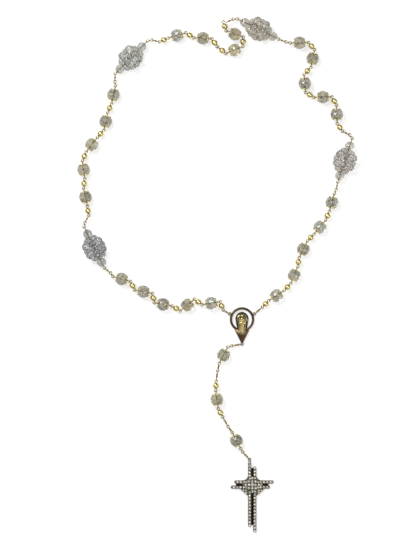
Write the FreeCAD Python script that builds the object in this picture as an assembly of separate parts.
import FreeCAD, Part
import math
import os

# Rosary lying flat. Millimetres. +Z up, table at z = 0, +Y from the crucifix towards
# the far end of the loop. Origin: centre of the centrepiece ring, on its flat back.

Vec = FreeCAD.Vector
up = Vec(0, 0, 1)

# Driving dimensions
wire_radius = 0.25            # gold wire of every pin, eye and link
eye_radius = 0.8              # middle line of a wire eye
ring_slack = 0.1              # free play between two linked eyes
bore_clearance = 0.08         # wire in a bead's bore, radial

crystal_radius = 4.0
crystal_flat = 3.3            # half length of the glass between its two flats
cap_gap = 0.05
cap_wall = 0.2
cap_petals = 6
petal_notch_radius = 0.45

ball_radius = 1.95
ball_flat = 1.85

short_link_half = 1.4         # half the distance between the two eyes of a plain link
long_link_half = 2.3

cluster_bead_radius = 2.7
cluster_bead_flat = 2.6
cluster_bead_gap = 0.1
thread_radius = 0.18
thread_clearance = 0.05

ring_outer_radius = 7.6       # open ring of the centrepiece
ring_bar = 1.5
medal_thickness = 2.2
medal_eye_height = 1.2
ear_angle = 24.0              # the two ears, degrees above the X axis
wedge_half_width = 4.4
wedge_tip_half_width = 0.6
wedge_tip_y = -14.5
figure_foot_radius = 3.5
figure_shoulder_radius = 4.2
figure_foot_y = -9.7
figure_shoulder_y = 0.6
figure_head_radius = 1.7
figure_sink = 0.8             # how far the figure's round body is cut off by its flat back

cross_bar_width = 2.4
cross_bar_thickness = 1.6
cross_row_offset = 1.6        # each of the two parallel rows from the middle line
cross_web_thickness = 0.8     # the plate that joins two parallel rows
cross_height = 41.0
cross_height_shift = 3.5      # the right-hand row sits lower by this
cross_arm = 24.5
cross_arm_shift = 2.2
cross_centre_drop = 14.8      # from the top of the left-hand row to the crossing
cross_diamond_half_width = 6.9
cross_diamond_half_height = 5.0
cross_diamond_thickness = 2.2
stone_radius = 0.85
stone_height = 0.6
stone_pitch = 2.05

pivot_gap = 0.45              # open pivot: clear space between its two eyes
bend_link = 11                # each half is bent to close the loop at this link

# Derived sizes
chain_height = crystal_radius
cap_outside = crystal_flat + cap_gap + cap_wall
eye_outside = eye_radius + wire_radius
crystal_half = cap_outside + cap_gap + eye_outside
ball_half = ball_flat + cap_gap + eye_outside
eye_pitch = 2 * eye_radius - 2 * wire_radius - ring_slack
cluster_pitch = 2 * cluster_bead_radius + cluster_bead_gap
cluster_end = 1.8 * cluster_pitch
cluster_half = cluster_end + cluster_bead_radius + cap_gap + eye_outside
ear_reach = ring_outer_radius + eye_radius - cap_gap

# Each kind of link: half the distance between its eyes, and which way the near and the
# far eye lie. A flat eye lies level, an upright eye stands on edge.
link_kinds = {
    "crystal": (crystal_half, "upright", "upright"),
    "ball": (ball_half, "flat", "flat"),
    "turned_ball": (ball_half, "upright", "flat"),
    "short_flat": (short_link_half, "flat", "flat"),
    "short_upright": (short_link_half, "upright", "upright"),
    "long_flat": (long_link_half, "flat", "flat"),
    "long_upright": (long_link_half, "upright", "upright"),
    "cluster": (cluster_half, "flat", "upright"),
}


def decade(number, headings):
    """Five balls and five crystals in turn, with a heading in degrees for each."""
    steps = []
    for index, heading in enumerate(headings):
        kind = "crystal" if index % 2 else "ball"
        name = "decade_%d_%s_%d" % (number, kind, index // 2 + 1)
        steps.append((kind, heading, name))
    return steps


def woven_cluster(number, lead_in, heading, lead_out):
    """A cluster with two plain links on each side, all in one node."""
    name = "cluster_%d" % number
    steps = [("short_flat", lead_in[0], name), ("short_upright", lead_in[1], name)]
    steps.append(("cluster", heading, name))
    steps += [("short_flat", lead_out[0], name), ("short_upright", lead_out[1], name)]
    return steps


# The lie of the chain: one heading for each link, walked away from the centrepiece.
left_half = [("short_upright", 150, "decade_1_ball_1")]
left_half += decade(1, [110, 190, 145, 220, 150, 170, 100, 170, 115, 165])
left_half += woven_cluster(1, (120, 140), 114, (75, 60))
left_half += decade(2, [95, 100, 80, 95, 65, 50, 45, 75, 65, 75])
left_half += woven_cluster(2, (95, 85), 43, (10, -15))
left_half += decade(3, [20, 15, -35, -5])
left_half += [
    ("ball", -60, "decade_3_ball_3"),
    ("turned_ball", -40, "decade_3_ball_4"),
    ("crystal", 20, "decade_3_tangle"),
    ("ball", 85, "decade_3_tangle"),
    ("crystal", 158, "decade_3_tangle"),
    ("ball", 105, "decade_3_tangle"),
]

right_half = [("long_upright", 45, "decade_5_ball_1")]
right_half += decade(5, [50, 38, 50, 72, 85, 68, 50, 55, 72, 78])
right_half += woven_cluster(4, (68, 78), 72, (125, 155))
right_half += decade(4, [125, 92, 118, 182, 150, 95, 45, 78, 130, 182])
right_half += woven_cluster(3, (165, 160), 154, (185, 205))

pendant = [
    ("long_upright", -170, "pendant_crystal_1"),
    ("short_flat", -165, "pendant_crystal_1"),
    ("crystal", -118, "pendant_crystal_1"),
    ("long_flat", -103, "pendant_ball_1"),
    ("long_upright", -98, "pendant_ball_1"),
    ("ball", -93, "pendant_ball_1"),
    ("crystal", -82, "pendant_crystal_2"),
    ("ball", -62, "pendant_ball_2"),
    ("long_upright", -60, "pendant_crystal_3"),
    ("long_flat", -56, "pendant_crystal_3"),
    ("crystal", -62, "pendant_crystal_3"),
    ("short_flat", -60, "pendant_crystal_3"),
    ("long_upright", -48, "pendant_crystal_3"),
]


# Layout

def link_frame(heading, pitch):
    """Directions along, across and square to a link, from angles in degrees."""
    turn = math.radians(heading)
    rise = math.radians(pitch)
    along = Vec(math.cos(rise) * math.cos(turn), math.cos(rise) * math.sin(turn), math.sin(rise))
    across = Vec(-math.sin(turn), math.cos(turn), 0)
    return along, across, along.cross(across)


def eye_axis(lie, frame):
    return frame[2] if lie == "flat" else frame[1]


def walk(start_eye, start_axis, steps, pitches):
    """Hang each link in the one before: linked eyes stand a fixed distance apart,
    along the line that lies in the planes of both."""
    placed = []
    eye, axis = start_eye, start_axis
    for (kind, heading, name), pitch in zip(steps, pitches):
        half, near_lie, far_lie = link_kinds[kind]
        frame = link_frame(heading, pitch)
        near_axis = eye_axis(near_lie, frame)
        pull = axis.cross(near_axis)
        pull.normalize()
        if pull.dot(frame[0]) < 0:
            pull = pull.negative()
        near_eye = eye + pull * eye_pitch
        middle = near_eye + frame[0] * half
        eye = middle + frame[0] * half
        axis = eye_axis(far_lie, frame)
        placed.append({
            "kind": kind, "name": name, "frame": frame, "middle": middle,
            "near": near_eye, "far": eye, "near_axis": near_axis, "far_axis": axis,
            "near_lie": near_lie, "far_lie": far_lie, "heading": heading,
        })
    return placed


def walk_to_height(start_eye, start_axis, steps, sloping, height_of, target):
    """Find by halving the one pitch of the sloping links that meets a target height."""
    low, high = -60.0, 60.0
    for attempt in range(40):
        pitch = (low + high) / 2
        pitches = [pitch if index in sloping else 0.0 for index in range(len(steps))]
        placed = walk(start_eye, start_axis, steps, pitches)
        if height_of(placed) < target:
            low = pitch
        else:
            high = pitch
    return placed


def turned_steps(steps, angle, first=0):
    """The same steps with every heading from a given link onwards turned by an angle."""
    kept = list(steps[:first])
    return kept + [(kind, heading + angle, name) for kind, heading, name in steps[first:]]


def direction_angle(vector):
    return math.degrees(math.atan2(vector.y, vector.x))


def ear_centre(side):
    turn = math.radians(ear_angle)
    return Vec(side * ear_reach * math.cos(turn), ear_reach * math.sin(turn), medal_eye_height)


def loop_half(side, steps):
    """One half of the loop. Its first links climb from the ear to the chain's height."""
    sloping = (0, 1)
    first_level = 2
    return walk_to_height(ear_centre(side), up, steps, sloping,
                          lambda placed: placed[first_level]["middle"].z, chain_height)


def level_length(vector):
    return math.hypot(vector.x, vector.y)


def reach_for(side, steps, target):
    """Bend one half at the link before its first cluster, and swing it about its ear,
    until its far eye stands at the target: a triangle of ear, bend and far eye."""
    placed = loop_half(side, steps)
    ear = ear_centre(side)
    bend = placed[bend_link]["near"]
    first, second = bend - ear, placed[-1]["far"] - bend
    near_length, far_length = level_length(first), level_length(second)
    wanted = level_length(target - ear)
    cosine = (wanted ** 2 - near_length ** 2 - far_length ** 2) / (2 * near_length * far_length)
    bent = math.degrees(math.acos(cosine))
    natural = (direction_angle(second) - direction_angle(first) + 180) % 360 - 180
    steps = turned_steps(steps, math.copysign(bent, natural) - natural, bend_link)
    placed = loop_half(side, steps)
    swing = direction_angle(target - ear) - direction_angle(placed[-1]["far"] - ear)
    return loop_half(side, turned_steps(steps, swing))


def close_loop():
    """Bring the far eyes of the two halves side by side at the open pivot."""
    left_end = loop_half(-1, left_half)[-1]["far"]
    right_end = loop_half(1, right_half)[-1]["far"]
    meeting = (left_end + right_end) * 0.5
    aside = Vec(eye_outside + pivot_gap / 2, 0, 0)
    return reach_for(-1, left_half, meeting - aside), reach_for(1, right_half, meeting + aside)


def bottom_eye():
    return Vec(0, wedge_tip_y - eye_radius + cap_gap, medal_eye_height)


def hang_pendant():
    """Pendant chain: climbs to the first crystal and comes down again to the crucifix."""
    first_crystal = 2
    last_crystal = 10
    start = bottom_eye()
    climb = walk_to_height(start, up, pendant[:first_crystal + 1], (0, 1),
                           lambda placed: placed[-1]["middle"].z, chain_height)
    level_steps = pendant[first_crystal + 1:last_crystal + 1]
    level = walk(climb[-1]["far"], climb[-1]["far_axis"], level_steps, [0.0] * len(level_steps))
    fall = walk_to_height(level[-1]["far"], level[-1]["far_axis"], pendant[last_crystal + 1:],
                          (0, 1), lambda placed: placed[-1]["far"].z, medal_eye_height)
    return climb + level + fall


left_chain, right_chain = close_loop()
pendant_chain = hang_pendant()
last_link = pendant_chain[-1]
level_pull = last_link["frame"][1].cross(up)
level_pull.normalize()
crucifix_eye = last_link["far"] + level_pull * eye_pitch


# Solids

def ring_solid(centre, axis):
    return Part.makeTorus(eye_radius, wire_radius, centre, axis)


def pin_solid(half, near_lie, far_lie):
    """Straight wire along X with an eye at each end."""
    reach = half - eye_radius
    shank = Part.makeCylinder(wire_radius, 2 * reach, Vec(-reach, 0, 0), Vec(1, 0, 0))
    lies = {"flat": Vec(0, 0, 1), "upright": Vec(0, 1, 0)}
    near = ring_solid(Vec(-half, 0, 0), lies[near_lie])
    far = ring_solid(Vec(half, 0, 0), lies[far_lie])
    return shank.multiFuse([near, far])


def bored_bead(radius, flat):
    """Round bead about X, bored through, with a flat at each end."""
    bore = wire_radius + bore_clearance
    edge = math.sqrt(radius ** 2 - flat ** 2)
    crown = Part.Arc(Vec(-flat, edge, 0), Vec(0, radius, 0), Vec(flat, edge, 0)).toShape()
    corners = [Vec(flat, edge, 0), Vec(flat, bore, 0), Vec(-flat, bore, 0), Vec(-flat, edge, 0)]
    outline = Part.Wire([crown] + Part.makePolygon(corners).Edges)
    return Part.Face(outline).revolve(Vec(0, 0, 0), Vec(1, 0, 0), 360)


def petal_cap():
    """Flat disc turned down over the shoulder of the glass, notched into petals."""
    flat_edge = math.sqrt(crystal_radius ** 2 - crystal_flat ** 2)
    rim_x = 0.69 * crystal_radius
    rim_radius = math.sqrt(crystal_radius ** 2 - rim_x ** 2)
    inner_x = crystal_flat + cap_gap
    hole = wire_radius + bore_clearance
    lift = cap_gap + 0.02
    outline = [
        Vec(inner_x, hole, 0),
        Vec(inner_x, flat_edge + lift, 0),
        Vec(rim_x, rim_radius + 2 * lift, 0),
        Vec(rim_x + cap_wall, rim_radius + 2 * lift + cap_wall, 0),
        Vec(inner_x + cap_wall, flat_edge + lift + 0.5 * cap_wall, 0),
        Vec(inner_x + cap_wall, hole, 0),
        Vec(inner_x, hole, 0),
    ]
    cap = Part.Face(Part.makePolygon(outline)).revolve(Vec(0, 0, 0), Vec(1, 0, 0), 360)
    for petal in range(cap_petals):
        angle = 2 * math.pi * petal / cap_petals
        outward = Vec(1, math.cos(angle), math.sin(angle))
        foot = Vec(rim_x, rim_radius * math.cos(angle), rim_radius * math.sin(angle))
        notch = Part.makeCylinder(petal_notch_radius, 4, foot - outward, outward)
        cap = cap.cut(notch)
    return cap


def moved_to(shape, place):
    copy = shape.copy()
    copy.translate(place)
    return copy


def mirrored(shape):
    copy = shape.copy()
    copy.rotate(Vec(0, 0, 0), Vec(0, 0, 1), 180)
    return copy


def crystal_solids():
    cap = petal_cap()
    glass = bored_bead(crystal_radius, crystal_flat)
    return [glass, cap, mirrored(cap), pin_solid(crystal_half, "upright", "upright")]


def ball_solids(near_lie, far_lie):
    return [bored_bead(ball_radius, ball_flat), pin_solid(ball_half, near_lie, far_lie)]


def cluster_nodes():
    """Bead places in bead pitches from the middle: a lower hexagon, an upper hexagon,
    and the three beads on the core pin."""
    lower = [(0.95, 0.53), (0, 1.04), (-0.95, 0.53), (-0.95, -0.53), (0, -1.04), (0.95, -0.53)]
    upper = [(0.53, 0), (0.53, 0.97), (-0.53, 0.97), (-0.53, 0), (-0.53, -0.97), (0.53, -0.97)]
    low = [Vec(x, y, -0.24) * cluster_pitch for x, y in lower]
    high = [Vec(x, y, 0.63 if y else 0.87) * cluster_pitch for x, y in upper]
    core = [Vec(x, 0, 0) for x in (-cluster_end, 0, cluster_end)]
    return low, high, core


def thread_net(low, high, radius):
    """One woven thread: round both hexagons and up and down between them."""
    runs = []
    for row in (low, high):
        runs += [(row[i], row[(i + 1) % len(row)]) for i in range(len(row))]
    runs += [(low[0], high[0]), (low[5], high[0]), (low[2], high[3]), (low[3], high[3])]
    runs += [(low[1], high[1]), (low[1], high[2]), (low[4], high[4]), (low[4], high[5])]
    pieces = [Part.makeSphere(radius, place) for place in low + high]
    for start, end in runs:
        span = end - start
        pieces.append(Part.makeCylinder(radius, span.Length, start, span))
    return pieces[0].multiFuse(pieces[1:])


def cluster_solids():
    low, high, core = cluster_nodes()
    net = thread_net(low, high, thread_radius)
    holes = thread_net(low, high, thread_radius + thread_clearance)
    beads = [Part.makeSphere(cluster_bead_radius, place, place).cut(holes) for place in low + high]
    beads += [moved_to(bored_bead(cluster_bead_radius, cluster_bead_flat), place) for place in core]
    return beads + [net, pin_solid(cluster_half, "flat", "upright")]


def medal_frame():
    """Open ring on a wedge, with an ear on each side and an eye at the bottom."""
    ring = Part.makeCylinder(ring_outer_radius, medal_thickness)
    ring = ring.cut(Part.makeCylinder(ring_outer_radius - ring_bar, medal_thickness))
    top_y = -ring_outer_radius + ring_bar / 2
    outline = [
        Vec(-wedge_half_width, top_y, 0),
        Vec(wedge_half_width, top_y, 0),
        Vec(wedge_tip_half_width, wedge_tip_y, 0),
        Vec(-wedge_tip_half_width, wedge_tip_y, 0),
        Vec(-wedge_half_width, top_y, 0),
    ]
    wedge = Part.Face(Part.makePolygon(outline)).extrude(Vec(0, 0, medal_thickness))
    eyes = [ring_solid(centre, up) for centre in (ear_centre(-1), ear_centre(1), bottom_eye())]
    return ring.multiFuse([wedge] + eyes)


def medal_figure(frame):
    """Figure in a wide veil, in relief with a flat back, standing on the wedge inside the ring."""
    length = figure_shoulder_y - figure_foot_y
    robe = Part.makeCone(figure_foot_radius, figure_shoulder_radius, length,
                         Vec(0, figure_foot_y, -figure_sink), Vec(0, 1, 0))
    shoulders = Part.makeSphere(figure_shoulder_radius, Vec(0, figure_shoulder_y, -figure_sink))
    head_y = figure_shoulder_y + 0.45 * figure_shoulder_radius
    head = Part.makeSphere(figure_head_radius, Vec(0, head_y, 0.9 * figure_head_radius))
    body = robe.multiFuse([shoulders, head])
    above_table = Part.makeBox(40, 40, 20, Vec(-20, -25, 0))
    ring_inside = ring_outer_radius - ring_bar
    over_wedge = Part.makeBox(40, 20, medal_thickness, Vec(-20, -20 - ring_inside, 0))
    return body.common(above_table).cut(over_wedge).cut(frame)


def upright_bar(x, top, bottom):
    half = cross_bar_width / 2
    corner = Vec(x - half, bottom + half, 0)
    bar = Part.makeBox(cross_bar_width, top - bottom - 2 * half, cross_bar_thickness, corner)
    ends = [Part.makeCylinder(half, cross_bar_thickness, Vec(x, y, 0)) for y in (bottom + half, top - half)]
    return bar.multiFuse(ends)


def level_bar(y, left, right):
    half = cross_bar_width / 2
    corner = Vec(left + half, y - half, 0)
    bar = Part.makeBox(right - left - 2 * half, cross_bar_width, cross_bar_thickness, corner)
    ends = [Part.makeCylinder(half, cross_bar_thickness, Vec(x, y, 0)) for x in (left + half, right - half)]
    return bar.multiFuse(ends)


def cross_webs(uprights, levels):
    """A thinner plate between the two uprights and another between the two level bars."""
    end = cross_bar_width / 2
    bottom = max(low for place, low, high in uprights) + end
    top = min(high for place, low, high in uprights) - end
    left = max(low for place, low, high in levels) + end
    right = min(high for place, low, high in levels) - end
    width = 2 * cross_row_offset
    return [Part.makeBox(width, top - bottom, cross_web_thickness, Vec(-cross_row_offset, bottom, 0)),
            Part.makeBox(right - left, width, cross_web_thickness, Vec(left, -cross_row_offset, 0))]


def cross_rows():
    """The four rows as (x or y of the row, low end, high end), from the crossing."""
    top = cross_centre_drop
    bottom = top - cross_height
    uprights = [(-cross_row_offset, bottom, top),
                (cross_row_offset, bottom - cross_height_shift, top - cross_height_shift)]
    half = cross_arm / 2
    levels = [(cross_row_offset, -half + cross_arm_shift / 2, half + cross_arm_shift / 2),
              (-cross_row_offset, -half - cross_arm_shift / 2, half - cross_arm_shift / 2)]
    return uprights, levels


def cross_centre():
    return crucifix_eye + Vec(cross_row_offset, -cross_centre_drop - eye_radius + cap_gap, 0)


def cross_frame():
    uprights, levels = cross_rows()
    bars = [upright_bar(x, high, low) for x, low, high in uprights]
    bars += [level_bar(y, low, high) for y, low, high in levels]
    bars += cross_webs(uprights, levels)
    corners = [Vec(cross_diamond_half_width, 0, 0), Vec(0, cross_diamond_half_height, 0),
               Vec(-cross_diamond_half_width, 0, 0), Vec(0, -cross_diamond_half_height, 0)]
    outline = Part.makePolygon(corners + corners[:1])
    diamond = Part.Face(outline).extrude(Vec(0, 0, cross_diamond_thickness))
    eye = ring_solid(Vec(-cross_row_offset, cross_centre_drop + eye_radius - cap_gap, medal_eye_height), up)
    return bars[0].multiFuse(bars[1:] + [diamond, eye])


def row_places(low, high):
    """Stones at an even pitch, centred in the row."""
    count = int((high - low) / stone_pitch)
    start = (low + high - (count - 1) * stone_pitch) / 2
    return [start + index * stone_pitch for index in range(count)]


def inside_diamond(x, y, margin):
    return abs(x) / cross_diamond_half_width + abs(y) / cross_diamond_half_height < 1 + margin


def stone(x, y, z):
    return Part.makeCone(stone_radius, 0.6 * stone_radius, stone_height, Vec(x, y, z), up)


def cross_stones():
    """A stone at every pitch along the bars, and a diamond of stones over the crossing."""
    uprights, levels = cross_rows()
    places = [(x, y) for x, low, high in uprights for y in row_places(low, high)]
    places += [(x, y) for y, low, high in levels for x in row_places(low, high)]
    clear = 1.3 * stone_radius / cross_diamond_half_height
    stones = [stone(x, y, cross_bar_thickness) for x, y in places if not inside_diamond(x, y, clear)]
    rows = int(cross_diamond_half_height / stone_pitch)
    columns = int(cross_diamond_half_width / stone_pitch)
    for row in range(-rows, rows + 1):
        for column in range(-columns, columns + 1):
            x, y = column * stone_pitch, row * stone_pitch
            if inside_diamond(x, y, -stone_radius / cross_diamond_half_height):
                stones.append(stone(x, y, cross_diamond_thickness))
    return stones


def placed_copy(shape, link):
    along, across, square = link["frame"]
    middle = link["middle"]
    matrix = FreeCAD.Matrix(along.x, across.x, square.x, middle.x,
                            along.y, across.y, square.y, middle.y,
                            along.z, across.z, square.z, middle.z,
                            0, 0, 0, 1)
    copy = shape.copy()
    copy.Placement = FreeCAD.Placement(matrix).multiply(shape.Placement)
    return copy


def solids_of_kinds():
    kinds = {"crystal": crystal_solids(), "cluster": cluster_solids()}
    kinds["ball"] = ball_solids("flat", "flat")
    kinds["turned_ball"] = ball_solids("upright", "flat")
    for length, half in (("short", short_link_half), ("long", long_link_half)):
        for lie in ("flat", "upright"):
            kinds[length + "_" + lie] = [pin_solid(half, lie, lie)]
    return kinds


def build_nodes():
    nodes = {}
    kinds = solids_of_kinds()
    for link in left_chain + right_chain + pendant_chain:
        pieces = [placed_copy(shape, link) for shape in kinds[link["kind"]]]
        nodes.setdefault(link["name"], []).extend(pieces)
    frame = medal_frame()
    nodes["centrepiece_frame"] = [frame]
    nodes["centrepiece_figure"] = [medal_figure(frame)]
    centre = cross_centre()
    centre.z = 0
    nodes["crucifix_frame"] = [moved_to(cross_frame(), centre)]
    nodes["crucifix_stones"] = [moved_to(shape, centre) for shape in cross_stones()]
    return nodes


def write_nodes(nodes):
    os.makedirs("parts", exist_ok=True)
    for name, pieces in nodes.items():
        solids = [solid for piece in pieces for solid in piece.Solids]
        Part.makeCompound(solids).exportStep("parts/" + name + ".step")
    print(len(nodes), "nodes written")


write_nodes(build_nodes())
